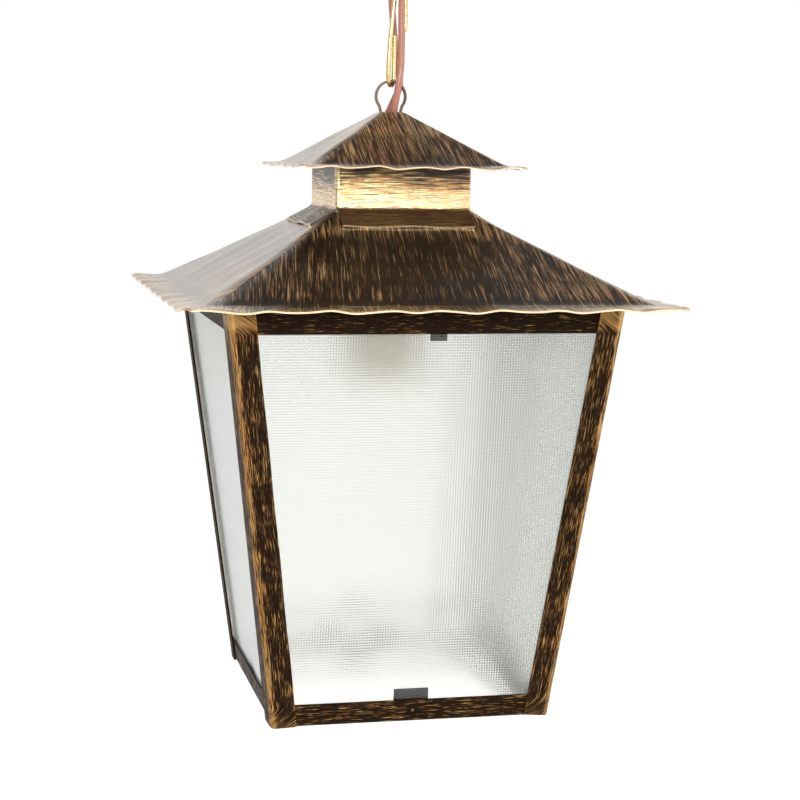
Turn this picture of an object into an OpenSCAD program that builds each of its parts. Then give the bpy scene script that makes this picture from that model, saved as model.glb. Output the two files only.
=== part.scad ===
// Hanging sheet-metal lantern with four tapered glass panes, hung by one wire link
// from a hook in a ceiling canopy. The origin is on the ceiling, over the lantern's axis.

/* [Glass house] */
// Half of the width across the feet of the posts
foot_half = 69; // [60:1:80]
// Outward lean of each face, in degrees
lean = 7.15; // [5:0.05:9]
// Width of each leg of the corner posts
post_leg = 12.5; // [10:0.5:15]
// Height of the bottom rails
bottom_rail_h = 11.2; // [8:0.2:14]
// Height of the lower edge of the top rails
top_rail_low = 191.6; // [180:0.2:194]
// Height of the top of the posts and rails, just under the roof
frame_top = 210.2; // [209:0.1:210.2]
// Thickness of the sheet steel
sheet = 1; // [0.8:0.1:1.2]
// Thickness of the glass
glass_t = 3; // [2:0.5:4]

/* [Roofs] */
// Half of the width over the main roof's brim
eave_half = 119.1; // [116:0.1:122]
// Height of the main roof's brim edge
eave_z = 204.9; // [204:0.1:206]
// Half of the width where the main roof's slope meets its brim
slope_half = 105.5; // [102:0.5:109]
// Height where the slope meets the brim
slope_z = 205.9; // [205:0.1:207]
// Half of the width of the collar
collar_half = 33.6; // [30:0.1:36]
// Half of the width over the cap's brim
cap_half = 56.6; // [54:0.1:60]
// Half of the width where the cap's slope meets its brim
cap_slope_half = 48.6; // [46:0.1:50]
// Height of the cap's brim edge
cap_eave_z = 267.9; // [266:0.1:269]
// Height of the cap's flat top
cap_top_z = 294.4; // [292:0.1:296]

/* [Hanging] */
// Height of the ceiling over the feet of the posts
ceiling_z = 400; // [400:1:402]
// Outer radius of the loop on the cap
loop_r = 8; // [7.5:0.1:8.5]
// Diameter of the link's wire
link_wire = 2.2; // [2:0.1:2.4]
// Diameter of the hook's wire
hook_wire = 3; // [2.5:0.1:3.2]
// Radius of the canopy
canopy_r = 45; // [40:1:60]
// Diameter of each strand of the flex
strand_d = 3.4; // [3:0.1:3.4]

/* [Lamp holder] */
// Height of the lamp holder's lower rim
holder_low = 160; // [155:1:165]
// Outer radius of the lamp holder's skirt
holder_r = 20; // [19:0.5:22]
// Inner radius of the screw shell for an E27 lamp
screw_r = 13.3; // [13.2:0.05:13.5]

/* [Hidden] */

$fn = 64;
gap = 0.05;                   // clearance between pieces that lie against each other
FRONT = 0;
RIGHT = 1;
BACK = 2;
LEFT = 3;

black = [0.09, 0.07, 0.06];
antique = [0.24, 0.17, 0.11];
gold = [0.72, 0.55, 0.28];
flex_pink = [0.80, 0.50, 0.44];
frosted = [0.86, 0.91, 0.88, 0.6];

// Glass house: depths are measured inward from the outer face of the posts
rail_depth = sheet + gap;
glass_depth = rail_depth + sheet + gap;
clip_depth = glass_depth + glass_t + gap;
clip_t = 0.8;
rail_leg = 9;
rail_end = rail_depth + sheet + gap;  // how far a rail stops short of the corner
glass_end = clip_depth + 1;   // how far a pane stops short of the corner
foot_gap = 0.3;
glass_low = foot_gap + sheet + gap;
glass_high = frame_top - sheet - 1;
clip_up = 14;                 // how far a clip reaches over a rail's ledge
clip_low = foot_gap + sheet + 0.5;
clip_high = frame_top - sheet - 1.2;
clip_drop = 20.5;

// Roofs
roof_rise = 0.549;            // slope of the main roof
roof_drop = sheet * 1.14;     // its thickness measured straight down
roof_open = collar_half + 0.3;
snip = 6;                     // size of the cut at each corner of a brim
cap_drop = sheet * 1.17;
cap_flat = 6.5;
cap_rise = (cap_top_z - cap_eave_z - 0.5) / (cap_slope_half - cap_flat);
collar_top = cap_eave_z + 0.5 - cap_drop + cap_rise * (cap_slope_half - collar_half) - gap;
flange_out = 15;
flange_lift = 0.2;

// Hanging gear: the link hangs from the hook and carries the loop
loop_z = cap_top_z + 7.6;
loop_w = 3.2;
loop_leg_x = 5.6;
loop_gap = 0.35;                                // slack between the link and the loop
hang_gap = 0.3;                                 // slack between the link and the hook
loop_hang_z = loop_z + loop_r - sheet;          // underside of the loop's crown
link_low_z = loop_hang_z - link_wire / 2 - loop_gap;
link_turn = -30;                                // the link's lower bend runs this far from +Y
link_high_z = 359.4;
hook_r = 7;
hook_z = link_high_z - link_wire / 2 - hook_wire / 2 - hang_gap + hook_r;
canopy_floor = 376;
canopy_t = 1;
bar_t = 2;
bar_w = 16;
bar_l = 76;
screw_spacing = 60;
screw_hole_r = 2.5;
shank_r = 2.5;
cord_hole = [11.7, -2.3];
cord_hole_r = 5.2;

// Lamp holder
strap_w = 14;
strap_t = 1.5;
strap_z = frame_top;
strap_half = 87;
nipple_r = 5;
nipple_bore = 4;
nut_h = 3;
nut_r = 8;
holder_top = strap_z - nut_h - gap;
holder_shoulder = holder_low + 30;
shell_t = 0.6;
shell_top = holder_low + 21;
contact_t = 2.4;
core_z = shell_top + 3;
core_top = core_z + 10 - gap;

// A point of the link where it is laid over the hook's wire: an angle from the top of the bend,
// and how far along the wire
function over_hook(a, s) = let (r = (link_wire + hook_wire) / 2 + hang_gap)
    [0, 0, link_high_z - r]
    + r * (sin(a) * [-sin(link_turn), cos(link_turn), 0] + cos(a) * [0, 0, 1])
    + s * [cos(link_turn), sin(link_turn), 0];

// Centre line of the link, from the lower end of its open side round to the upper end
link_path = concat(
    [
        [2.3, 3.9, 333], [2.3, 3.9, 323], [2.25, 3.9, 314], [1.95, 3.4, link_low_z + 2.05],
        [1.1, 1.9, link_low_z + 0.2], [0, 0, link_low_z], [-1.1, -1.9, link_low_z + 0.2],
        [-1.95, -3.4, link_low_z + 2.05], [-2.25, -3.9, 314], [-1.8, -4.1, 326], [-0.6, -4.2, 340],
        [0.3, -4.1, 350]
    ],
    [for (a = [-90 : 45 : 45]) over_hook(a, 0.8 + 1.2 * pow(a / 90, 2))],
    [[4.9, 2, 356.9], [6.8, 2.2, 353.5], [7.5, 2.3, 345], [7.3, 2.3, 334]]
);

// Centre lines of the two strands of the flex, hand laid beside the link
wires_front = [[1.8, 0, core_top + 0.1], [1.8, 0, 222], [1.4, -1.4, 240], [1.4, -1.4, 293.4]];
wires_back = [[-1.8, 0, core_top + 0.1], [-1.8, 0, 222], [-0.7, 1.7, 240], [-0.7, 1.7, 293.4]];
flex_front_low = [
    [1.4, -1.4, 294], [2.0, -3.2, 300], [2.9, -4.2, 307], [3.9, -4.4, 315], [4.1, -4.6, 324], [4.0, -4.8, 332]
];
flex_back_low = [
    [-0.7, 1.7, 294], [2.4, 3.6, 300], [5.4, 4.4, 307], [5.4, 6.6, 315], [4.2, 7.4, 324], [3.0, 7.4, 332]
];
flex_front_high = [
    [4.0, -4.8, 332.4], [3.8, -5.2, 342], [3.8, -6.4, 352], [5.6, -7.4, 361], [9.6, -5.8, 369],
    [11.0, -4.2, 376], [11, -4, 388]
];
flex_back_high = [
    [3.0, 7.4, 332.4], [1.8, 6.4, 342], [1.2, 5.6, 352], [4.4, 7.2, 361], [10.6, 3.4, 369],
    [12.4, -0.4, 376], [12.4, -0.6, 388]
];

// Half of the width of a face, at a height measured up the face
function face_half(up) = foot_half + up * sin(lean);
// The height measured up a face, for a height over the feet
function up_face(z) = z / cos(lean);
function roof_under(half) = slope_z - roof_drop + roof_rise * (slope_half - half);

// A smooth curve through points, with a number of steps between each pair
function pick(p, i) = p[max(0, min(len(p) - 1, i))];
function curve_at(p, i, t) = let (a = pick(p, i - 1), b = pick(p, i), c = pick(p, i + 1), d = pick(p, i + 2))
    0.5 * (2 * b + (c - a) * t + (2 * a - 5 * b + 4 * c - d) * t * t + (3 * b - a - 3 * c + d) * t * t * t);
function smooth(p, steps) = [
    for (i = [0 : len(p) - 2]) for (k = [0 : steps - 1]) curve_at(p, i, k / steps),
    p[len(p) - 1]
];
function unit(v) = v / norm(v);
function along(p, i) = unit(pick(p, i + 1) - pick(p, i - 1));

// A round tube swept along a path; aside is a direction that the path never points in
module tube(path, d, sides, aside) {
    rings = len(path);
    points = [
        for (i = [0 : rings - 1])
            let (u = unit(cross(along(path, i), aside)), v = cross(along(path, i), u))
            for (k = [0 : sides - 1])
                path[i] + d / 2 * (cos(360 * k / sides) * u + sin(360 * k / sides) * v)
    ];
    skin = [
        for (i = [0 : rings - 2]) for (k = [0 : sides - 1])
            let (n = (k + 1) % sides)
            [i * sides + n, i * sides + k, (i + 1) * sides + k, (i + 1) * sides + n]
    ];
    low_end = [for (k = [0 : sides - 1]) k];
    high_end = [for (k = [sides - 1 : -1 : 0]) (rings - 1) * sides + k];
    polyhedron(points, concat([low_end], skin, [high_end]));
}

// Everything is drawn over the feet of the posts, then hung from the ceiling
module hung() {
    translate([0, 0, -ceiling_z])
        children();
}

// Turns a piece drawn on the front face onto one of the four leaning faces
module on_face(turn) {
    rotate([0, 0, 90 * turn])
        translate([0, -foot_half, 0])
            rotate([lean, 0, 0])
                children();
}

// A flat plate in a face, between two heights, from its corners, depth inward and thickness
module face_plate(corners, depth, thick) {
    translate([0, depth + thick, 0])
        rotate([90, 0, 0])
            linear_extrude(thick)
                polygon(corners);
}

// A plate as wide as the face, less a margin at each end
module face_panel(low, high, margin, depth, thick) {
    low_w = face_half(low) - margin;
    high_w = face_half(high) - margin;
    face_plate([[-low_w, low], [low_w, low], [high_w, high], [-high_w, high]], depth, thick);
}

// A horizontal mitred ledge that runs inward from a rail
module ledge(turn, z, outer_half) {
    inner = outer_half - rail_leg;
    rotate([0, 0, 90 * turn])
        translate([0, 0, z])
            linear_extrude(sheet)
                polygon([
                    [-outer_half, -outer_half], [outer_half, -outer_half],
                    [inner, -inner], [-inner, -inner]
                ]);
}

// One L-shaped corner post, to the left of the face that it is named for
module post(turn) {
    top = up_face(frame_top);
    foot_w = face_half(0);
    top_w = face_half(top);
    color(antique) hung() {
        on_face(turn)
            face_plate([[-foot_w, 0], [post_leg - foot_w, 0], [post_leg - top_w, top], [-top_w, top]], 0, sheet);
        on_face(turn + 3)
            face_plate([
                [foot_w - post_leg, 0], [foot_w - sheet / 2, 0],
                [top_w - sheet / 2, top], [top_w - post_leg, top]
            ], 0, sheet);
    }
}

module bottom_rail(turn) {
    high = up_face(bottom_rail_h);
    color(antique) hung() {
        on_face(turn)
            face_panel(foot_gap, high, rail_end, rail_depth, sheet);
        ledge(turn, foot_gap, face_half(foot_gap) - rail_depth - sheet / 2);
    }
}

module top_rail(turn) {
    low = up_face(top_rail_low);
    high = up_face(frame_top - 0.2);
    color(antique) hung() {
        on_face(turn)
            face_panel(low, high, rail_end, rail_depth, sheet);
        ledge(turn, frame_top - sheet, face_half(high) - rail_depth - sheet / 2);
    }
}

module glass(turn) {
    color(frosted) hung()
        on_face(turn)
            face_panel(up_face(glass_low), up_face(glass_high), glass_end, glass_depth, glass_t);
}

// Tabs bent up behind the panes, soldered to the rails' ledges
module bottom_glass_clips() {
    half = 8.5;
    high = clip_low + clip_up;
    color(black) hung()
        for (turn = [FRONT : LEFT]) on_face(turn)
            face_plate([[-half, clip_low], [half, clip_low], [half, high], [-half, high]], clip_depth, clip_t);
}

module top_glass_clips() {
    half = 4;
    off = 5;
    low = up_face(clip_high - clip_drop);
    high = up_face(clip_high);
    color(black) hung()
        for (turn = [FRONT : LEFT]) on_face(turn)
            face_plate([[off - half, low], [off + half, low], [off + half, high], [off - half, high]], clip_depth, clip_t);
}

// A four-sided shell: a section, given as half widths and heights, carried round a square
module square_round(section) {
    rotate([0, 0, 45])
        rotate_extrude($fn = 4)
            polygon([for (p = section) [p[0] * sqrt(2), p[1]]]);
}

// Cuts the sharp corners off a brim
module snips(half, size) {
    for (turn = [0 : 3]) rotate([0, 0, 90 * turn])
        translate([half, half, 0])
            rotate([0, 0, 45])
                cube([size * sqrt(2), 4 * size, 2 * ceiling_z], center = true);
}

module main_roof() {
    open_z = slope_z + roof_rise * (slope_half - roof_open);
    color(antique) hung()
        difference() {
            square_round([
                [eave_half, eave_z], [slope_half, slope_z], [roof_open, open_z],
                [roof_open, open_z - roof_drop], [slope_half, slope_z - roof_drop], [eave_half, eave_z - sheet]
            ]);
            snips(eave_half, snip);
        }
}

module collar() {
    low = roof_under(collar_half) - 3;
    bend_z = slope_z + roof_rise * (slope_half - collar_half) + flange_lift;
    end_z = bend_z - roof_rise * flange_out;
    color(gold) hung() {
        difference() {
            translate([-collar_half, -collar_half, low])
                cube([2 * collar_half, 2 * collar_half, collar_top - low]);
            translate([sheet - collar_half, sheet - collar_half, low - 1])
                cube([2 * (collar_half - sheet), 2 * (collar_half - sheet), collar_top - low + 2]);
        }
        for (turn = [FRONT : LEFT]) rotate([0, 0, 90 * turn])
            translate([1 - collar_half, 0, 0])
                rotate([90, 0, 90])
                    linear_extrude(2 * collar_half - 2)
                        polygon([
                            [-collar_half + sheet / 2, bend_z + roof_rise * sheet / 2],
                            [-collar_half + sheet / 2, bend_z + 2.5],
                            [-collar_half, bend_z + 2.5],
                            [-collar_half - 1, bend_z + 1.2],
                            [-collar_half - flange_out, end_z + roof_drop],
                            [-collar_half - flange_out, end_z]
                        ]);
    }
}

module cap_roof() {
    slope_foot = cap_eave_z + 0.5;
    color(antique) hung()
        difference() {
            square_round([
                [cap_half, cap_eave_z], [cap_slope_half, slope_foot], [cap_flat, cap_top_z], [0, cap_top_z],
                [0, cap_top_z - sheet], [cap_flat, cap_top_z - cap_drop],
                [cap_slope_half, slope_foot - cap_drop], [cap_half, cap_eave_z - sheet]
            ]);
            snips(cap_half, 3);
            translate([0, 0, cap_top_z])
                cylinder(h = 10, r = 4.6, center = true);
            for (side = [-1, 1])
                translate([side * (loop_leg_x - sheet / 2), 0, cap_top_z])
                    cube([sheet + 0.2, loop_w + 0.2, 10], center = true);
        }
}

// The insulating bush where the flex passes through the cap
module cap_grommet() {
    color(black) hung()
        translate([0, 0, cap_top_z])
            difference() {
                translate([0, 0, -3])
                    cylinder(h = 3, r = 4.4);
                translate([0, 0, -4])
                    cylinder(h = 6, r = 3.75);
            }
}

// Omega-shaped strip: a loop with two legs through the cap, turned out beneath it
module hanging_loop() {
    lap = 0.4;
    leg_top = loop_z - sqrt(pow(loop_r - sheet / 2, 2) - pow(loop_leg_x - sheet / 2, 2)) + lap;
    leg_low = cap_top_z - 7;
    color(antique) hung()
        translate([0, loop_w / 2, 0]) rotate([90, 0, 0]) linear_extrude(loop_w) {
            difference() {
                translate([0, loop_z]) circle(loop_r);
                translate([0, loop_z]) circle(loop_r - sheet);
                translate([-loop_r, loop_z - 2 * loop_r])
                    square([2 * loop_r, leg_top - loop_z + 2 * loop_r - lap]);
            }
            for (side = [0, 1]) mirror([side, 0]) {
                translate([loop_leg_x - sheet, leg_low]) square([sheet, leg_top - leg_low]);
                translate([loop_leg_x - sheet, leg_low]) square([5, sheet]);
            }
        }
}

module chain_link() {
    color(gold) hung()
        tube(smooth(link_path, 3), link_wire, 12, [cos(link_turn), sin(link_turn), 0]);
}

// Screw hook bent almost shut, its wire lying across the link
module ceiling_hook() {
    ring_top = hook_z + hook_r;
    color(gold) hung() {
        translate([0, 0, hook_z]) rotate([0, 0, link_turn]) rotate([90, 0, 0]) {
            rotate([0, 0, 90])
                rotate_extrude(angle = 315)
                    translate([hook_r, 0]) circle(d = hook_wire, $fn = 32);
            rotate([0, 0, 45])
                translate([hook_r, 0, 0]) sphere(d = hook_wire, $fn = 32);
        }
        translate([0, 0, ring_top - 0.6])
            cylinder(h = ceiling_z - ring_top - 0.4, r = shank_r);
    }
}

module hook_nuts() {
    color(gold) hung()
        for (low = [canopy_floor + canopy_t + gap, ceiling_z - bar_t - nut_h - gap])
            translate([0, 0, low])
                difference() {
                    cylinder(h = nut_h, r = 4.6, $fn = 6);
                    translate([0, 0, -1]) cylinder(h = nut_h + 2, r = shank_r + gap);
                }
}

module mounting_bar() {
    color("silver") hung()
        translate([0, 0, ceiling_z - bar_t])
            difference() {
                translate([-bar_l / 2, -bar_w / 2, 0]) cube([bar_l, bar_w, bar_t]);
                for (x = [-screw_spacing / 2, screw_spacing / 2])
                    translate([x, 0, -1]) cylinder(h = bar_t + 2, r = screw_hole_r);
                translate([0, 0, -1]) cylinder(h = bar_t + 2, r = shank_r + gap);
            }
}

module ceiling_canopy() {
    bend = 8;
    outer = [for (a = [0 : 10 : 90]) [canopy_r - bend + bend * sin(a), canopy_floor + bend - bend * cos(a)]];
    inner = [
        for (a = [90 : -10 : 0])
            [canopy_r - bend + (bend - canopy_t) * sin(a), canopy_floor + bend - (bend - canopy_t) * cos(a)]
    ];
    color(antique) hung()
        difference() {
            rotate_extrude($fn = 96)
                polygon(concat(
                    [[0, canopy_floor]], outer, [[canopy_r, ceiling_z], [canopy_r - canopy_t, ceiling_z]],
                    inner, [[0, canopy_floor + canopy_t]]
                ));
            translate([0, 0, canopy_floor - 1]) cylinder(h = 4, r = shank_r + 0.2);
            translate([cord_hole[0], cord_hole[1], canopy_floor - 1]) cylinder(h = 4, r = cord_hole_r);
        }
}

module canopy_grommet() {
    color(black) hung()
        translate([cord_hole[0], cord_hole[1], canopy_floor - 1])
            difference() {
                cylinder(h = 3, r = cord_hole_r - gap);
                translate([0, 0, -1]) cylinder(h = 5, r = cord_hole_r - 1);
            }
}

module terminal_block() {
    color("ivory") hung()
        translate([6, -12, 388 + gap]) cube([12, 20, 9.8]);
}

module holder_strap() {
    color(black) hung()
        difference() {
            translate([-strap_half, -strap_w / 2, strap_z + gap]) cube([2 * strap_half, strap_w, strap_t]);
            translate([0, 0, strap_z - 1]) cylinder(h = strap_t + 3, r = nipple_r + gap);
        }
}

module holder_nipple() {
    color(gold) hung()
        translate([0, 0, holder_top - 5])
            difference() {
                cylinder(h = 16, r = nipple_r);
                translate([0, 0, -1]) cylinder(h = 18, r = nipple_bore);
            }
}

module nipple_nuts() {
    color(gold) hung()
        for (low = [strap_z - nut_h, strap_z + strap_t + 2 * gap])
            translate([0, 0, low])
                difference() {
                    cylinder(h = nut_h, r = nut_r, $fn = 6);
                    translate([0, 0, -1]) cylinder(h = nut_h + 2, r = nipple_r + gap);
                }
}

// Domed top of the lamp holder
module holder_cap() {
    wall = 1.8;
    neck = 9;
    color("white") hung()
        rotate_extrude()
            polygon([
                [nipple_r + gap, holder_top], [neck, holder_top], [holder_r - 3, holder_shoulder + 5],
                [holder_r, holder_shoulder + gap], [holder_r - wall, holder_shoulder + gap],
                [holder_r - 3 - wall, holder_shoulder + 4], [neck - wall, holder_top - wall],
                [nipple_r + gap, holder_top - wall]
            ]);
}

module holder_skirt() {
    wall = 1.8;
    color("white") hung()
        rotate_extrude()
            polygon([
                [holder_r - 0.6, holder_low], [holder_r, holder_low + 3], [holder_r, holder_shoulder],
                [holder_r - wall, holder_shoulder], [holder_r - wall, holder_low]
            ]);
}

// Porcelain core that carries the terminals and the contacts, with a rim over the screw shell
module holder_insert() {
    core_r = holder_r - 5;
    color("white") hung()
        rotate_extrude()
            polygon([
                [0, core_z], [core_r - 5, core_z], [core_r - 5, shell_top + gap], [core_r, shell_top + gap],
                [core_r, core_top], [0, core_top]
            ]);
}

module screw_shell() {
    low = holder_low + 3;
    color(gold) hung()
        translate([0, 0, low])
            difference() {
                cylinder(h = shell_top - low, r = screw_r + shell_t);
                translate([0, 0, -1]) cylinder(h = shell_top - low + 2, r = screw_r);
            }
}

module centre_contact() {
    color(gold) hung()
        translate([0, 0, core_z - gap - contact_t])
            cylinder(h = contact_t, r = 4);
}

// Both strands inside the lantern, from the porcelain core up to the cap
module inner_wires() {
    color(flex_pink) hung()
        for (path = [wires_front, wires_back]) tube(smooth(path, 3), strand_d, 8, [1, 0, 0]);
}

module flex_lower() {
    color(flex_pink) hung()
        for (path = [flex_front_low, flex_back_low]) tube(smooth(path, 2), strand_d, 8, [1, 0, 0]);
}

module flex_upper() {
    color(flex_pink) hung()
        for (path = [flex_front_high, flex_back_high]) tube(smooth(path, 2), strand_d, 8, [1, 0, 0]);
}

mounting_bar();
ceiling_canopy();
ceiling_hook();
hook_nuts();
terminal_block();
canopy_grommet();
chain_link();
hanging_loop();
cap_roof();
cap_grommet();
collar();
main_roof();
post(FRONT);  // post_front_left
post(RIGHT);  // post_front_right
post(BACK);  // post_back_right
post(LEFT);  // post_back_left
top_rail(FRONT);  // top_rail_front
top_rail(RIGHT);  // top_rail_right
top_rail(BACK);  // top_rail_back
top_rail(LEFT);  // top_rail_left
bottom_rail(FRONT);  // bottom_rail_front
bottom_rail(RIGHT);  // bottom_rail_right
bottom_rail(BACK);  // bottom_rail_back
bottom_rail(LEFT);  // bottom_rail_left
glass(FRONT);  // glass_front
glass(RIGHT);  // glass_right
glass(BACK);  // glass_back
glass(LEFT);  // glass_left
top_glass_clips();
bottom_glass_clips();
holder_strap();
holder_nipple();
nipple_nuts();
holder_cap();
holder_skirt();
holder_insert();
screw_shell();
centre_contact();
inner_wires();
flex_lower();
flex_upper();
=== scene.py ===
"""Looks of the hanging lantern: sheet-metal roofs and frame, patterned glass, link and flex."""
import math

import bmesh
import bpy
import numpy as np
from mathutils import Matrix, Vector


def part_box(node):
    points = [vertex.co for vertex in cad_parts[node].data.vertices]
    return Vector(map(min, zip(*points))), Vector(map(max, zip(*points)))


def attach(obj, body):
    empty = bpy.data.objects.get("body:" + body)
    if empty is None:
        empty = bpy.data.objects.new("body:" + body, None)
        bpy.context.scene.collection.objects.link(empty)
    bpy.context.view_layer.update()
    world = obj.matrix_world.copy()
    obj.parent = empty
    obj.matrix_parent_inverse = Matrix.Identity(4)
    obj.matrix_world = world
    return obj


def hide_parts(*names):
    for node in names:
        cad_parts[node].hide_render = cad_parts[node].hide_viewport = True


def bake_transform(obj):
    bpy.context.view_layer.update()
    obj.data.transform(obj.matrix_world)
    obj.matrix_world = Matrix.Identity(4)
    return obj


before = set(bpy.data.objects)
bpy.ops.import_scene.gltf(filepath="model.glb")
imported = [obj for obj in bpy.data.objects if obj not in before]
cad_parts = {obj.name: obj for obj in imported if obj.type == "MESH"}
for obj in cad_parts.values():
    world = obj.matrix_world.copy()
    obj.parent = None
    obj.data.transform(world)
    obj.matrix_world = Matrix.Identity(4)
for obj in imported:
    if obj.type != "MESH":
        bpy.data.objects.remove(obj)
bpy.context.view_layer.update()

MM = 0.001

# ---------------------------------------------------------------- driving sizes, from the frame
FLOOR_OF_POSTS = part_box("post_front_left")[0].z     # the feet of the posts, under the ceiling
FOOT_HALF = 69 * MM
LEAN = math.radians(7.15)
TAPER = math.tan(LEAN)
SHEET = 1 * MM
POST_LEG = 12.5 * MM
FRAME_TOP = 210.2 * MM
BOTTOM_RAIL = 11.2 * MM
TOP_RAIL_LOW = 191.6 * MM
EAVE_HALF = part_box("main_roof")[1].x
COLLAR_HALF = 33.6 * MM
CAP_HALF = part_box("cap_roof")[1].x
# a post stands at the left end of the side of the same number
SIDES = ["front", "right", "back", "left"]
POSTS = ["post_front_left", "post_front_right", "post_back_right", "post_back_left"]


def hang(x, y, z):
    """A point given in millimetres over the feet of the posts, in the frame."""
    return Vector((x * MM, y * MM, z * MM + FLOOR_OF_POSTS))


def half_at(z):
    """Half of the width of the glass house at a height over the feet, in metres."""
    return FOOT_HALF + TAPER * z


# ---------------------------------------------------------------- camera
CAMERA_PLACE = (-213.6, -958.7, 277.6)         # mm over the feet of the posts
CAMERA_TURN = (-12.98, 7.46, 0.95)             # azimuth, elevation and roll in degrees
LENS, SENSOR = 87.34, 36


def make_camera():
    azimuth, elevation, roll = (math.radians(a) for a in CAMERA_TURN)
    ahead = Vector((-math.sin(azimuth) * math.cos(elevation),
                    math.cos(azimuth) * math.cos(elevation),
                    -math.sin(elevation)))
    right = Vector((math.cos(azimuth), math.sin(azimuth), 0))
    up = right.cross(ahead)
    right_rolled = math.cos(roll) * right + math.sin(roll) * up
    up_rolled = -math.sin(roll) * right + math.cos(roll) * up
    data = bpy.data.cameras.new("camera")
    data.sensor_width = SENSOR
    data.lens = LENS
    data.clip_start = 0.01
    camera = bpy.data.objects.new("camera", data)
    bpy.context.scene.collection.objects.link(camera)
    turn = Matrix((right_rolled, up_rolled, -ahead)).transposed().to_4x4()
    camera.matrix_world = Matrix.Translation(hang(*CAMERA_PLACE)) @ turn
    bpy.context.scene.camera = camera


make_camera()


# ---------------------------------------------------------------- shader helpers
def add_node(tree, kind, inputs=None, **settings):
    """A shader node with its settings, and its inputs set to values or linked to sockets."""
    made = tree.nodes.new(kind)
    for key, value in settings.items():
        setattr(made, key, value)
    for key, value in (inputs or {}).items():
        if isinstance(value, bpy.types.NodeSocket):
            tree.links.new(value, made.inputs[key])
        else:
            made.inputs[key].default_value = value
    return made


def ramp(tree, factor, stops):
    """A colour ramp from (position, colour) stops."""
    made = add_node(tree, "ShaderNodeValToRGB", {0: factor})
    elements = made.color_ramp.elements
    while len(elements) < len(stops):
        elements.new(0.5)
    for element, (position, colour) in zip(elements, stops):
        element.position = position
        element.color = (*colour, 1)
    return made.outputs[0]


def maths(tree, operation, a, b=0.0):
    return add_node(tree, "ShaderNodeMath", {0: a, 1: b}, operation=operation).outputs[0]


def plus(tree, a, b):
    return maths(tree, "ADD", a, b)


def times(tree, a, b):
    return maths(tree, "MULTIPLY", a, b)


def remap(tree, value, low, high, to_low=0.0, to_high=1.0):
    """Value moved from the range low to high onto another, and held inside it."""
    made = add_node(tree, "ShaderNodeMapRange", {"Value": value, "From Min": low, "From Max": high,
                                                 "To Min": to_low, "To Max": to_high})
    return made.outputs[0]


def mix(tree, factor, a, b, **settings):
    made = add_node(tree, "ShaderNodeMix", {"Factor": factor, "A": a, "B": b}, data_type="RGBA",
                    **settings)
    return made.outputs["Result"]


def object_coords(tree):
    return add_node(tree, "ShaderNodeTexCoord").outputs["Object"]


def attribute(tree, name):
    return add_node(tree, "ShaderNodeAttribute", attribute_name=name).outputs["Fac"]


def relief(tree, bsdf, height, strength, distance):
    bump = add_node(tree, "ShaderNodeBump",
                    {"Strength": strength, "Distance": distance, "Height": height})
    tree.links.new(bump.outputs[0], bsdf.inputs["Normal"])


def new_material(name):
    material = bpy.data.materials.new(name)
    material.use_nodes = True
    tree = material.node_tree
    return material, tree, tree.nodes["Principled BSDF"]


def noise(tree, vector, scale, detail=3.0, roughness=0.55):
    made = add_node(tree, "ShaderNodeTexNoise",
                    {"Vector": vector, "Scale": scale, "Detail": detail, "Roughness": roughness})
    return made.outputs["Fac"]


def stretched(tree, coords, scale):
    return add_node(tree, "ShaderNodeMapping", {"Vector": coords, "Scale": scale}).outputs[0]


def tuned(tree, value, gain):
    """Value spread out from its middle, a half."""
    return plus(tree, times(tree, maths(tree, "SUBTRACT", value, 0.5), gain), 0.5)


USUAL_RADIUS = 40 * MM      # where a turn's length is its true length on the canopy


def around_axis(tree):
    """Coordinates wound round the upright axis: outward and down the wall, then along the turn."""
    x, y, z = add_node(tree, "ShaderNodeSeparateXYZ", {0: object_coords(tree)}).outputs
    radius = maths(tree, "SQRT", plus(tree, times(tree, x, x), times(tree, y, y)))
    along = times(tree, maths(tree, "ARCTAN2", y, x), USUAL_RADIUS)
    outward = maths(tree, "SUBTRACT", radius, z)
    return add_node(tree, "ShaderNodeCombineXYZ", {0: outward, 1: along}).outputs[0]


# how much each size of brush stroke adds to the paint's pattern
BROAD_PART, FINE_PART, HAIR_PART = 0.2, 0.44, 0.36
DRIFT_SIZE, DRIFT_BY = 30 * MM, 0.5 * MM        # the slow wander of the strokes
PATCH_SIZE, HUE_SIZE = 24 * MM, 9 * MM
RIM_START = 0.1 * MM


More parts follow.
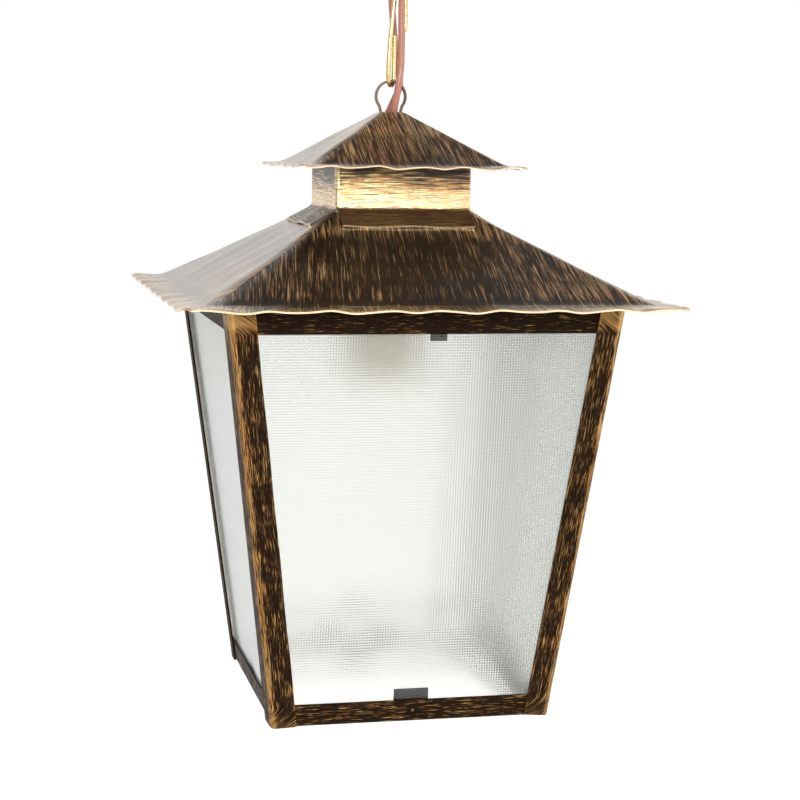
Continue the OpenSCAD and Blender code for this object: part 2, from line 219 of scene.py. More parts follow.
def brushed_gold(name, cover, dark, brown, gold, across=0.5, along=16.0, coords="UV",
                 edge_mm=1.2, edge_gain=0.5, rough=(0.42, 0.34), patch_gain=0.35, sheen=0.25,
                 gloss=0.5, contrast=1.0, painted_highlight=None, metal=(0.2, 0.95)):
    """Black paint dry-brushed with gold. Streaks run along the texture's second axis.
    cover is how much of the surface the gold takes, across and along are a stroke's sizes in mm,
    and rough and metal go from the paint's values to the gold's. The pale last stop of the ramp,
    where given, is a painted highlight over the most gilded places."""
    material, tree, bsdf = new_material(name)
    if coords == "turned":
        source = around_axis(tree)
    else:
        source = add_node(tree, "ShaderNodeTexCoord").outputs[coords]
    drift = add_node(tree, "ShaderNodeTexNoise",
                     {"Vector": source, "Scale": 1 / DRIFT_SIZE, "Detail": 1.0})
    shift = add_node(tree, "ShaderNodeVectorMath", {0: drift.outputs["Color"], 1: [DRIFT_BY] * 3},
                     operation="MULTIPLY").outputs[0]
    bent = add_node(tree, "ShaderNodeVectorMath", {0: source, 1: shift},
                    operation="ADD").outputs[0]

    def strokes(width, length, detail):
        size = 1 / (length * MM)
        return noise(tree, stretched(tree, bent, (1 / (width * MM), size, size)), 1.0, detail, 0.62)

    broad = tuned(tree, strokes(across * 2.6, along * 1.4, 3.0), 1.5)
    fine = tuned(tree, strokes(across, along, 3.0), 2.0)
    hairs = tuned(tree, strokes(across * 0.5, along * 0.5, 2.0), 2.2)
    patches = tuned(tree, noise(tree, source, 1 / PATCH_SIZE, 3.0, 0.6), patch_gain)
    body = plus(tree, times(tree, broad, BROAD_PART), times(tree, fine, FINE_PART))
    body = plus(tree, body, times(tree, hairs, HAIR_PART))
    body = plus(tree, tuned(tree, body, contrast), maths(tree, "SUBTRACT", patches, 0.5))
    # the per-point wear attribute adds real wear of the paint, and with it painted highlights and
    # painted shade
    body = plus(tree, plus(tree, body, attribute(tree, "wear_and_painted_light")), cover - 0.5)
    if edge_mm:
        rag = times(tree, maths(tree, "SUBTRACT", hairs, 0.5), edge_mm * MM)
        from_edge = plus(tree, attribute(tree, "edge"), rag)
        rim = remap(tree, from_edge, RIM_START, edge_mm * MM, 1.0, 0.0)
        body = plus(tree, body, times(tree, rim, edge_gain))
    between = [0.45 * b + 0.55 * g for b, g in zip(brown, gold)]
    stops = [(0.38, dark), (0.50, brown), (0.58, between), (0.70, gold)]
    # painted highlight: the most gilded places turn a pale, nearly white gold
    if painted_highlight:
        stops.append((0.98, painted_highlight))
    hue = noise(tree, stretched(tree, bent, [1 / HUE_SIZE] * 3), 1.0, 2.0, 0.5)
    tint = ramp(tree, hue, [(0.32, (1.0, 0.86, 0.80)), (0.5, (1, 1, 1)), (0.68, (0.86, 0.95, 1.0))])
    tinted = mix(tree, 1.0, ramp(tree, body, stops), tint, blend_type="MULTIPLY")
    tree.links.new(tinted, bsdf.inputs["Base Color"])
    tree.links.new(remap(tree, body, 0.40, 0.60, *metal), bsdf.inputs["Metallic"])
    tree.links.new(remap(tree, body, 0.36, 0.66, *rough), bsdf.inputs["Roughness"])
    relief(tree, bsdf, body, 0.45, 0.15 * MM)
    bsdf.inputs["Specular IOR Level"].default_value = gloss
    bsdf.inputs["Coat Weight"].default_value = sheen
    bsdf.inputs["Coat Roughness"].default_value = 0.22
    return material


UMBER = (0.010, 0.0050, 0.0022)
BROWN = (0.060, 0.028, 0.010)
GOLD = (0.46, 0.26, 0.09)
ROOF_UMBER, ROOF_BROWN = (0.008, 0.0036, 0.0015), (0.066, 0.031, 0.011)
# the pale colours after the roof's and the collar's golds are painted highlights, laid on the most
# gilded places
ROOF_GOLD, ROOF_PAINTED_HIGHLIGHT = (0.62, 0.385, 0.18), (0.76, 0.58, 0.36)
COLLAR_UMBER, COLLAR_BROWN = (0.020, 0.011, 0.006), (0.27, 0.15, 0.055)
COLLAR_GOLD, COLLAR_PAINTED_HIGHLIGHT = (0.68, 0.45, 0.21), (0.78, 0.64, 0.42)

roof_paint = brushed_gold("roof_paint", 0.37, ROOF_UMBER, ROOF_BROWN, ROOF_GOLD, across=0.75,
                          along=34, edge_mm=0.7, edge_gain=0.7, sheen=1.0, contrast=1.7,
                          painted_highlight=ROOF_PAINTED_HIGHLIGHT, metal=(0.1, 0.45))
frame_paint = brushed_gold("frame_paint", 0.33, UMBER, BROWN, GOLD, along=15, edge_mm=1.3,
                           edge_gain=0.20, rough=(0.55, 0.40), sheen=0.0, gloss=0.04, contrast=1.3)
collar_paint = brushed_gold("collar_paint", 0.58, COLLAR_UMBER, COLLAR_BROWN, COLLAR_GOLD, along=24,
                            edge_mm=0.8, rough=(0.36, 0.22), patch_gain=0.4, contrast=1.5,
                            sheen=0.1, painted_highlight=COLLAR_PAINTED_HIGHLIGHT)
canopy_paint = brushed_gold("canopy_paint", 0.47, UMBER, BROWN, GOLD, across=0.7, along=18,
                            coords="turned", edge_mm=0, gloss=0.15, contrast=1.4)


def plain(name, colour, metallic=0.0, rough=0.4, grain_mm=0.6, grain=0.06, coat=0.0,
          subsurface=0.0, gloss=0.5):
    """A solid material with a fine grain in its colour, roughness and relief."""
    material, tree, bsdf = new_material(name)
    source = object_coords(tree)
    speckle = noise(tree, source, 1 / (grain_mm * MM), 4.0, 0.6)
    broad = noise(tree, source, 1 / (grain_mm * MM * 12), 2.0, 0.5)
    mixed = plus(tree, times(tree, speckle, 0.5), times(tree, broad, 0.5))
    low = [max(0, c * (1 - 4 * grain)) for c in colour]
    high = [min(1, c * (1 + 4 * grain)) for c in colour]
    tree.links.new(ramp(tree, mixed, [(0.3, low), (0.7, high)]), bsdf.inputs["Base Color"])
    tree.links.new(remap(tree, mixed, 0.3, 0.7, rough + grain, rough - grain),
                   bsdf.inputs["Roughness"])
    relief(tree, bsdf, speckle, 0.2, 0.08 * MM)
    bsdf.inputs["Metallic"].default_value = metallic
    bsdf.inputs["Coat Weight"].default_value = coat
    bsdf.inputs["Specular IOR Level"].default_value = gloss
    bsdf.inputs["Subsurface Weight"].default_value = subsurface
    bsdf.inputs["Subsurface Radius"].default_value = (0.004, 0.002, 0.0015)
    return material


gilt = plain("gilt_wire", (0.66, 0.46, 0.21), metallic=1.0, rough=0.27, grain_mm=1.5, grain=0.05)
loop_metal = plain("loop_metal", (0.15, 0.10, 0.065), metallic=0.85, rough=0.34, grain_mm=0.8,
                   grain=0.12)
black_steel = plain("black_steel", (0.004, 0.0045, 0.0045), rough=0.65, grain=0.04, gloss=0.08)
primer = plain("pale_primer", (0.74, 0.74, 0.71), rough=0.5, grain_mm=1.2, grain=0.03, gloss=0.3)
zinc = plain("zinc_steel", (0.62, 0.62, 0.60), metallic=1.0, rough=0.36, grain_mm=1.0)
brass = plain("brass_contact", (0.78, 0.56, 0.25), metallic=1.0, rough=0.28)
rubber = plain("black_rubber", (0.02, 0.02, 0.02), rough=0.7)
porcelain = plain("porcelain", (0.66, 0.62, 0.54), rough=0.18, coat=0.5, grain=0.02)
ivory = plain("ivory_plastic", (0.78, 0.72, 0.56), grain=0.03)
flex_pvc = plain("flex_pvc", (0.36, 0.145, 0.105), rough=0.36, grain_mm=2.5, grain=0.03, coat=0.25,
                 subsurface=0.25)


def make_glass():
    """Pale pressed glass, greener and darker where it is looked through at a slant."""
    material, tree, bsdf = new_material("patterned_glass")
    source = object_coords(tree)
    speckle = noise(tree, source, 1 / (0.5 * MM), 2.0, 0.5)
    tree.links.new(remap(tree, speckle, 0.3, 0.7, 0.17, 0.23), bsdf.inputs["Roughness"])
    cloud = noise(tree, source, 1 / (40 * MM))
    clear = ramp(tree, cloud, [(0.3, (0.915, 0.930, 0.905)), (0.7, (0.93, 0.94, 0.92))])
    slant = add_node(tree, "ShaderNodeLayerWeight", {"Blend": 0.5}).outputs["Facing"]
    tinted = mix(tree, remap(tree, slant, 0.45, 0.85), clear, (0.66, 0.72, 0.68, 1))
    tree.links.new(tinted, bsdf.inputs["Base Color"])
    bsdf.inputs["Transmission Weight"].default_value = 1.0
    bsdf.inputs["IOR"].default_value = 1.5
    return material


glass_material = make_glass()


# ---------------------------------------------------------------- mesh helpers
def link_mesh(name, mesh, material, smooth_deg=40.0):
    mesh.shade_smooth()
    mesh.set_sharp_from_angle(angle=math.radians(smooth_deg))
    mesh.materials.append(material)
    obj = bpy.data.objects.new(name, mesh)
    bpy.context.scene.collection.objects.link(obj)
    return obj


def wrap_up(piece, body, material_slot, *nodes):
    """The piece stands for those CAD nodes, and moves with a body."""
    if nodes:
        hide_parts(*nodes)
    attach(piece, body)


def turned(points, quarter):
    """Points of the front side, turned onto side 0 front, 1 right, 2 back or 3 left."""
    cos, sin = ((1, 0), (0, 1), (-1, 0), (0, -1))[quarter]
    out = np.array(points, float)
    out[..., 0], out[..., 1] = (cos * points[..., 0] - sin * points[..., 1],
                                sin * points[..., 0] + cos * points[..., 1])
    return out


def hung(points):
    """Points in metres over the feet of the posts, in the frame."""
    out = np.array(points, float)
    out[..., 2] += FLOOR_OF_POSTS
    return out


def ease(t):
    """A smooth step from 0 to 1."""
    t = np.clip(t, 0, 1)
    return t * t * (3 - 2 * t)


def run_along(section):
    """How far each point of an outline lies along it."""
    return np.concatenate([[0], np.cumsum(np.hypot(*np.diff(section, axis=0).T))])


INNER_UV_SHIFT = 0.37       # keeps the inner face's strokes from repeating the outer's
WELD = 2e-6                 # points nearer than this are one


class Sheets:
    """Gathers bent sheets of metal into one mesh. Each is drawn on the front side as a grid of
    points on its outer face, whose columns run rightward and rows upward, and is then turned onto
    its side."""

    def __init__(self):
        self.points, self.faces, self.inside = [], [], []
        self.uvs, self.edges, self.wear_and_painted_light_values = [], [], []

    def add(self, outer, uv, edge, wear_and_painted_light, quarter, thick=SHEET, joined=None):
        """uv holds each point's place in the brush strokes in metres, edge its distance from a bare
        edge and the next argument the gold added to it: real wear, with painted highlights and
        painted shade laid in too. joined marks the rows whose two ends run on into the neighbouring
        sides."""
        rows, columns = outer.shape[:2]
        if joined is None:
            joined = np.zeros(rows, bool)
        normal = np.cross(np.gradient(outer, axis=1), np.gradient(outer, axis=0))
        # at a joined end the normal stays in the corner's upright plane, so that neighbours meet
        for column, across in ((0, (1, -1, 0)), (-1, (1, 1, 0))):
            away = np.array(across) / math.sqrt(2)
            lean = normal[:, column] @ away
            normal[joined, column] -= lean[joined, None] * away
        normal /= np.linalg.norm(normal, axis=2, keepdims=True)
        inner = outer - normal * thick
        start = len(self.points)
        layer = rows * columns
        for face in (outer, inner):
            self.points += list(hung(turned(face, quarter)).reshape(-1, 3))
        flat_uv = np.asarray(uv, float).reshape(-1, 2)
        self.uvs += list(flat_uv) + list(flat_uv + INNER_UV_SHIFT)
        for store, values in ((self.edges, edge), (self.wear_and_painted_light_values, wear_and_painted_light)):
            flat = np.broadcast_to(values, (rows, columns)).reshape(-1)
            store += list(flat) + list(flat)

        def at(r, c, side=0):
            return start + side * layer + r * columns + c

        last_row, last = rows - 1, columns - 1
        for r in range(last_row):
            for c in range(last):
                self.faces.append((at(r, c), at(r, c + 1), at(r + 1, c + 1), at(r + 1, c)))
                self.inside.append(len(self.faces))
                self.faces.append((at(r, c, 1), at(r + 1, c, 1), at(r + 1, c + 1, 1),
                                   at(r, c + 1, 1)))
            if not (joined[r] and joined[r + 1]):
                self.faces.append((at(r + 1, 0), at(r + 1, 0, 1), at(r, 0, 1), at(r, 0)))
                self.faces.append((at(r, last), at(r, last, 1), at(r + 1, last, 1),
                                   at(r + 1, last)))
        for c in range(last):
            self.faces.append((at(0, c + 1), at(0, c), at(0, c, 1), at(0, c + 1, 1)))
            self.faces.append((at(last_row, c), at(last_row, c + 1), at(last_row, c + 1, 1),
                               at(last_row, c, 1)))

    def build(self, name, material, smooth_deg=40.0, lining=None):
        """lining is the material of the inner faces, where it differs."""
        mesh = bpy.data.meshes.new(name)
        mesh.from_pydata([tuple(p) for p in self.points], [], self.faces)
        layer = mesh.uv_layers.new(name="UVMap")
        corners = np.empty(len(mesh.loops), np.int32)
        mesh.loops.foreach_get("vertex_index", corners)
        layer.data.foreach_set("uv", np.asarray(self.uvs, np.float32)[corners].ravel())
        for kind, values in (("edge", self.edges), ("wear_and_painted_light", self.wear_and_painted_light_values)):
            made = mesh.attributes.new(kind, "FLOAT", "POINT")
            made.data.foreach_set("value", np.asarray(values, np.float32))
        if lining:
            which = np.zeros(len(mesh.polygons), np.int32)
            which[self.inside] = 1
            mesh.polygons.foreach_set("material_index", which)
        bm = bmesh.new()
        bm.from_mesh(mesh)
        bmesh.ops.remove_doubles(bm, verts=bm.verts, dist=WELD)
        bm.to_mesh(mesh)
        bm.free()
        piece = link_mesh(name, mesh, material, smooth_deg)
        if lining:
            mesh.materials.append(lining)
        return piece


def curve_through(points, steps):
    """Points along a smooth curve through the given ones, so many steps between each pair."""
    p = [np.array(v, float) for v in points]
    p = [p[0]] + p + [p[-1]]
    out = []
    for a, b, c, d in zip(p, p[1:], p[2:], p[3:]):
        for t in np.arange(steps) / steps:
            out.append(0.5 * (2 * b + (c - a) * t + (2 * a - 5 * b + 4 * c - d) * t ** 2
                              + (3 * b - a - 3 * c + d) * t ** 3))
    return np.array(out + [p[-1]])


def swept(name, path, section, aside, material, smooth_deg=40.0, grow=None):
    """A solid swept along a path. section is a ring of (sideways, outward) offsets, aside a
    direction that sideways stays close to, and grow a scale for each ring."""
    path = np.asarray(path, float)
    along = np.gradient(path, axis=0)
    along /= np.linalg.norm(along, axis=1, keepdims=True)
    aside = np.array(aside, float)
    side = aside - along * (along @ aside)[:, None]
    side /= np.linalg.norm(side, axis=1, keepdims=True)
    out = np.cross(along, side)
    scale = np.ones(len(path)) if grow is None else grow
    rings = [path[i] + scale[i] * (u * side[i] + v * out[i])
             for i in range(len(path)) for u, v in section]
    n, count = len(section), len(path)
    faces = [tuple(range(n))[::-1], tuple(range((count - 1) * n, count * n))]
    for start in range(0, (count - 1) * n, n):
        for k in range(n):
            beside = (k + 1) % n
            faces.append((start + k, start + beside, start + n + beside, start + n + k))
    mesh = bpy.data.meshes.new(name)
    mesh.from_pydata([tuple(p) for p in rings], [], faces)
    bm = bmesh.new()
    bm.from_mesh(mesh)
    bmesh.ops.recalc_face_normals(bm, faces=bm.faces)
    bm.to_mesh(mesh)
    bm.free()
    return link_mesh(name, mesh, material, smooth_deg)


def ring_of(radius, sides):
    turns = [2 * math.pi * k / sides for k in range(sides)]
    return [(radius * math.cos(a), radius * math.sin(a)) for a in turns]


def in_frame(points):
    """Points in millimetres over the feet of the posts, as metres in the frame."""
    return [tuple(hang(*p)) for p in points]


# ---------------------------------------------------------------- flex
# two strands, each in two lengths
STRAND_D = 3.4 * MM
FRONT_LOW = [(1.4, -1.4, 294), (2.0, -3.2, 300), (2.9, -4.2, 307), (3.9, -4.4, 315),
             (4.1, -4.6, 324), (4.0, -4.8, 332.2)]
FRONT_HIGH = [(4.0, -4.8, 332.2), (3.8, -5.2, 342), (3.8, -6.4, 352), (5.6, -7.4, 361),
              (9.6, -5.8, 369), (11.0, -4.2, 376), (11.0, -4.0, 388)]
BACK_LOW = [(-0.7, 1.7, 294), (2.4, 3.6, 300), (5.4, 4.4, 307), (5.4, 6.6, 315), (4.2, 7.4, 324),
            (3.0, 7.4, 332.2)]
BACK_HIGH = [(3.0, 7.4, 332.2), (1.8, 6.4, 342), (1.2, 5.6, 352), (4.4, 7.2, 361),
             (10.6, 3.4, 369), (12.4, -0.4, 376), (12.4, -0.6, 388)]
LOW_BLEND = (hang(0, 0, 302), hang(0, 0, 330))
HIGH_BLEND = (hang(0, 0, 342), hang(0, 0, 372))


def make_strand(name, low, high):
    """One strand of the flex: its lower length joins the lantern to the link, its upper one the
    link to the ceiling. Both are cut from one smooth curve, so they meet without a step."""
    steps = 4
    whole = curve_through(in_frame(low + high[1:]), steps)
    cut = (len(low) - 1) * steps
    made = []
    for part, path, bodies, (start, end) in (
            ("low", whole[:cut + 1], ("lantern", "link"), LOW_BLEND),
            ("high", whole[cut:], ("link", "ceiling_fitting"), HIGH_BLEND)):
        fine = curve_through(path, 3)
        strand = swept(f"{name}_{part}", fine, ring_of(STRAND_D / 2, 20), (1, 0.3, 0), flex_pvc)
        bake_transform(strand)
        made.append(strand)
    return made


front_low, front_high = make_strand("flex_front", FRONT_LOW, FRONT_HIGH)
make_strand("flex_back", BACK_LOW, BACK_HIGH)
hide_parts("flex_lower")
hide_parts("flex_upper")


# ---------------------------------------------------------------- roofs
def rounded_side(half, left_radius, right_radius, straight=84, bend=8):
    """Points along the front side of a square with rounded corners, as x and y, from the middle of
    its left corner to the middle of its right one. Each row has its own half width and radii."""
    run = np.linspace(0, 1, straight)
    turn = np.linspace(0, math.pi / 4, bend)[1:]
    ends = []
    for radius in (left_radius, right_radius):
        flat = half - radius
        x = np.concatenate([flat[:, None] * run,
                            flat[:, None] + radius[:, None] * np.sin(turn)], 1)
        y = np.concatenate([-half[:, None] + 0 * run,
                            -flat[:, None] - radius[:, None] * np.cos(turn)], 1)
        ends.append((x, y))
    (left_x, left_y), (right_x, right_y) = ends
    return (np.concatenate([-left_x[:, :0:-1], right_x], 1),
            np.concatenate([left_y[:, :0:-1], right_y], 1))


def hump(values, width):
    """1 where values are 0, dying away over the width."""
    return np.exp(-(values / width) ** 2)


def sway(values, length, phase):
    return np.sin(2 * math.pi * values / length + phase)


FOLD_BEAD = 0.35 * MM       # how far the brim's fold stands up
EDGE_DIP = 0.35 * MM        # how far the very edge turns down


def roof(name, node, edge_half, edge_z, fold_half, fold_z, top, hips, wave, wave_h, ripples, lift,
         lift_out, snip, slant, phase_front, seed, thick, gilding_and_painted_reflection):
    """A four-sided sheet roof with a crimped brim. top is the rest of its outline, as (half width,
    height); hips are the bends' radii from the front left corner rightward; wave and wave_h are the
    length and height of the brim's waves, lift how far its corners curl up over lift_out, snip what
    is cut off them, slant the lean of the brush strokes and the gilding argument the gold they left
    together with a painted reflection, both at the left end, the middle and the right end."""
    rng = np.random.default_rng(seed)
    outline = np.array([(edge_half, edge_z), (fold_half, fold_z)] + top)
    lengths = run_along(outline)
    fold_at, top_at = lengths[1], lengths[-1]
    rows = np.concatenate([np.linspace(0, fold_at, 11),
                           fold_at + np.array([0.8, 1.8, 3.2]) * MM,
                           np.linspace(fold_at + 6 * MM, top_at, ripples)])
    half = np.interp(rows, lengths, outline[:, 0])
    height = np.interp(rows, lengths, outline[:, 1]) + FOLD_BEAD * hump(rows - fold_at, 2.2 * MM)
    on_brim = 1 - ease(rows / (fold_at * 1.3))[:, None]
    bends_at = [0, fold_at * 0.6, fold_at * 1.6, top_at]
    radii = [np.minimum(np.interp(rows, bends_at, [0.3 * MM, 0.3 * hip, hip, 0.35 * hip]),
                        half * 0.6) for hip in hips]
    down = (top_at - rows)[:, None]
    sheets = Sheets()
    for quarter in range(4):
        flat_x, flat_y = rounded_side(half, radii[quarter], radii[(quarter + 1) % 4])
        phase = rng.uniform(0, 2 * math.pi, 5)
        if quarter == 0:
            phase[0] = phase_front
        along = flat_x / half[:, None] * edge_half
        waves = (sway(along, wave, phase[0]) + 0.40 * sway(along, wave * 1.83, phase[1])
                 + 0.22 * sway(along, wave * 0.57, phase[2]))
        calm = ease((edge_half - np.abs(along)) / (7 * MM))
        curl = np.clip((np.abs(along) - (edge_half - lift_out)) / lift_out, 0, 1) ** 2
        z = height[:, None] + waves * wave_h * on_brim * calm
        z = z + lift * curl * on_brim
        z = z - EDGE_DIP * (1 - ease(rows / (2.5 * MM)))[:, None]
        up_slope = np.clip((rows - fold_at) / (top_at - fold_at), 0, 1)
        bulge = np.sin(math.pi * up_slope)[:, None]
        z = z + bulge * calm * (0.22 * MM * sway(flat_x, 63 * MM, phase[3])
                                + 0.12 * MM * sway(flat_x, 27 * MM, phase[4]))
        # the corners are snipped along a short slant
        over = np.clip(np.abs(flat_x) + np.abs(flat_y) - (2 * edge_half - snip), 0, None)
        x, y = flat_x - np.sign(flat_x) * over * 0.5, flat_y + over * 0.5
        ends = [-edge_half, 0, edge_half]
        lean = np.interp(x, ends, slant)
        edge = rows[:, None] + 0 * x
        uv = np.stack([x + lean * (rows[:, None] - fold_at) + quarter * 0.5, edge], 2)
        to_hip = half[:, None] - np.abs(flat_x)
        # more gold on the brim; a band of painted shade just above the fold, in the crease; more
        # gold in a band about 18 mm down from the opening and a little less below it; more gold
        # near the hips; and across each side a profile of brushed gold that is partly a painted
        # reflection, lighter towards the right on the main roof
        wear_and_painted_light = (0.34 * (1 - ease((rows - fold_at * 0.4) / (fold_at * 0.5)))[:, None]
                - 0.14 * hump(rows - fold_at * 1.2, 3 * MM)[:, None]
                + 0.10 * hump(down - 18 * MM, 7 * MM) - 0.05 * hump(down - 36 * MM, 14 * MM)
                + 0.07 * (1 - ease(to_hip / (14 * MM))) + np.interp(x, ends, gilding_and_painted_reflection))
        sheets.add(np.stack([x, y, z], 2), uv, edge, wear_and_painted_light, quarter, thick,
                   np.ones(len(rows), bool))
    wrap_up(sheets.build(name, roof_paint, 50), "lantern", "antique_steel", node)


SLOPE_HALF, SLOPE_Z, EAVE_Z = 105.5 * MM, 205.9 * MM, 204.9 * MM
ROOF_RISE = 0.549
ROOF_OPEN = COLLAR_HALF + 0.3 * MM
roof("roof_shell", "main_roof", EAVE_HALF, EAVE_Z, SLOPE_HALF, SLOPE_Z - 0.3 * MM,
     [(ROOF_OPEN, SLOPE_Z + ROOF_RISE * (SLOPE_HALF - ROOF_OPEN))],
     hips=(13 * MM, 5 * MM, 6 * MM, 8 * MM), wave=26.5 * MM, wave_h=0.5 * MM, ripples=30,
     lift=1.0 * MM, lift_out=24 * MM, snip=6 * MM, slant=(-0.22, -0.07, 0.14), phase_front=1.43,
     seed=11, thick=0.8 * MM, gilding_and_painted_reflection=(0.06, -0.13, 0.21))
CAP_SLOPE_HALF, CAP_EAVE_Z, CAP_TOP_Z = 48.6 * MM, 267.9 * MM, 294.4 * MM
roof("cap_shell", "cap_roof", CAP_HALF, CAP_EAVE_Z, CAP_SLOPE_HALF, CAP_EAVE_Z + 0.3 * MM,
     [(6.3 * MM, CAP_TOP_Z - 0.5 * MM), (5.4 * MM, CAP_TOP_Z - 0.1 * MM), (4.6 * MM, CAP_TOP_Z)],
     hips=(7 * MM, 3 * MM, 4 * MM, 5 * MM), wave=22 * MM, wave_h=0.5 * MM, ripples=26,
     lift=0.5 * MM, lift_out=12 * MM, snip=3 * MM, slant=(0.0, 0.05, 0.18), phase_front=0.6,
     seed=5, thick=0.6 * MM, gilding_and_painted_reflection=(0.10, 0.08, 0.10))


# ---------------------------------------------------------------- collar
COLLAR_CORNER = 1.3 * MM        # radius of the collar's upright corners
# the gold brushed onto the collar, from the flange's edge up the wall, by height over its bend; its
# strong rise just over the bend is a painted highlight
COLLAR_GOLD_AND_HIGHLIGHT_AT = np.array([-12, -2.5, -1, 0, 5, 9, 14, 20]) * MM
COLLAR_GOLD_AND_HIGHLIGHT_IS = [-0.14, -0.20, 0.25, 0.44, 0.28, 0.05, -0.10, -0.22]
# dark patches left on each wall: place along it and up it in mm, width in mm and strength
COLLAR_BLOTS = ((17, 16, 11, 0.24), (-22, 17, 7, 0.18), (6, 12, 9, 0.08), (24, 10, 9, 0.10))


def make_collar():
    """Four upright sides bent from one strip, each turned out at the foot into a roof flange."""
    sheets = Sheets()
    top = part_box("collar")[1].z - FLOOR_OF_POSTS - 0.3 * MM
    slope = math.atan(ROOF_RISE)
    turn = math.pi / 2 - slope
    bend_r, flange = 3.4 * MM, 15.2 * MM
    bend_reach = bend_r * math.tan(turn / 2)
    roof_at_wall = SLOPE_Z + ROOF_RISE * (SLOPE_HALF - COLLAR_HALF)
    wall_low = roof_at_wall + 1.3 * MM + bend_reach
    section = [(0, z) for z in np.linspace(top, wall_low, 14)]
    for a in np.linspace(0, turn, 9)[1:]:
        section.append((bend_r * (1 - math.cos(a)), wall_low - bend_r * math.sin(a)))
    start = section[-1]
    for t in np.linspace(0, flange - bend_reach, 8)[1:]:
        section.append((start[0] + t * math.cos(slope), start[1] - t * math.sin(slope)))
    section = np.array(section)[::-1]
    out, z_of = section[:, 0], section[:, 1]
    run = run_along(section)[:, None]
    wall = out < 0.05 * MM
    radius = np.where(wall, COLLAR_CORNER, 0.05 * MM)
    for quarter in range(4):
        x, y = rounded_side(np.full(len(out), COLLAR_HALF), radius, radius, straight=40, bend=6)
        x = np.where(wall[:, None], x, x * (1 - 0.9 * MM / COLLAR_HALF))
        y = np.where(wall[:, None], y, -COLLAR_HALF)
        on_flange = ease(out / (12 * MM))[:, None]
        sag = 0.35 * MM * sway(x, 37 * MM, quarter * 1.7 + 1.2) * on_flange
        points = np.stack([x, y - out[:, None], z_of[:, None] + sag], 2)
        # the strokes run sideways, with black left between them under the cap
        uv = np.stack([run + quarter + 0 * x, x], 2)
        over_bend = (z_of - wall_low)[:, None] + 0 * x
        gold = np.interp(over_bend, COLLAR_GOLD_AND_HIGHLIGHT_AT, COLLAR_GOLD_AND_HIGHLIGHT_IS)
        for blot_x, blot_z, wide, deep in COLLAR_BLOTS:
            gold = gold - deep * np.exp(-((x - blot_x * MM) / (wide * MM)) ** 2
                                        - ((over_bend - blot_z * MM) / (2.6 * MM)) ** 2)
        # the left wall is darkened: painted shade
        if SIDES[quarter] == "left":
            gold = gold - 0.10
        sheets.add(points, uv, run + 0 * x, gold, quarter, joined=wall)
    wrap_up(sheets.build("collar_sheet", collar_paint), "lantern", "gold_steel", "collar")
    # the strip's end laps round the front left corner, cut by hand
    rng = np.random.default_rng(3)
    lap = Sheets()
    lap_thick, proud, past_left, past_right = 0.35 * MM, 0.28 * MM, -2.3 * MM, 1.5 * MM
    rows = np.linspace(wall_low - 0.5 * MM, top - 0.5 * MM, 46)
    ragged = rng.uniform(-0.35, 0.35, (len(rows), 2)) * MM
    across = np.linspace(0, 1, 9)
    reach = (past_left + ragged[:, :1]) * (1 - across) + (past_right + ragged[:, 1:]) * across
    corner = COLLAR_CORNER
    bend = np.clip((reach + corner) / (2 * corner), 0, 1) * math.pi / 2
    middle = -COLLAR_HALF + corner
    x = middle - corner * np.cos(bend) + np.clip(reach - corner, 0, None) - proud * np.cos(bend)
    y = middle - corner * np.sin(bend) + np.clip(-reach - corner, 0, None) - proud * np.sin(bend)
    z = rows[:, None] + 0 * x
    lap.add(np.stack([x, y, z], 2), np.stack([z, reach + 0.2], 2), 2 * MM, 0.16, 0,
            thick=lap_thick)
    wrap_up(lap.build("collar_lap", collar_paint), "lantern", "gold_steel")


make_collar()


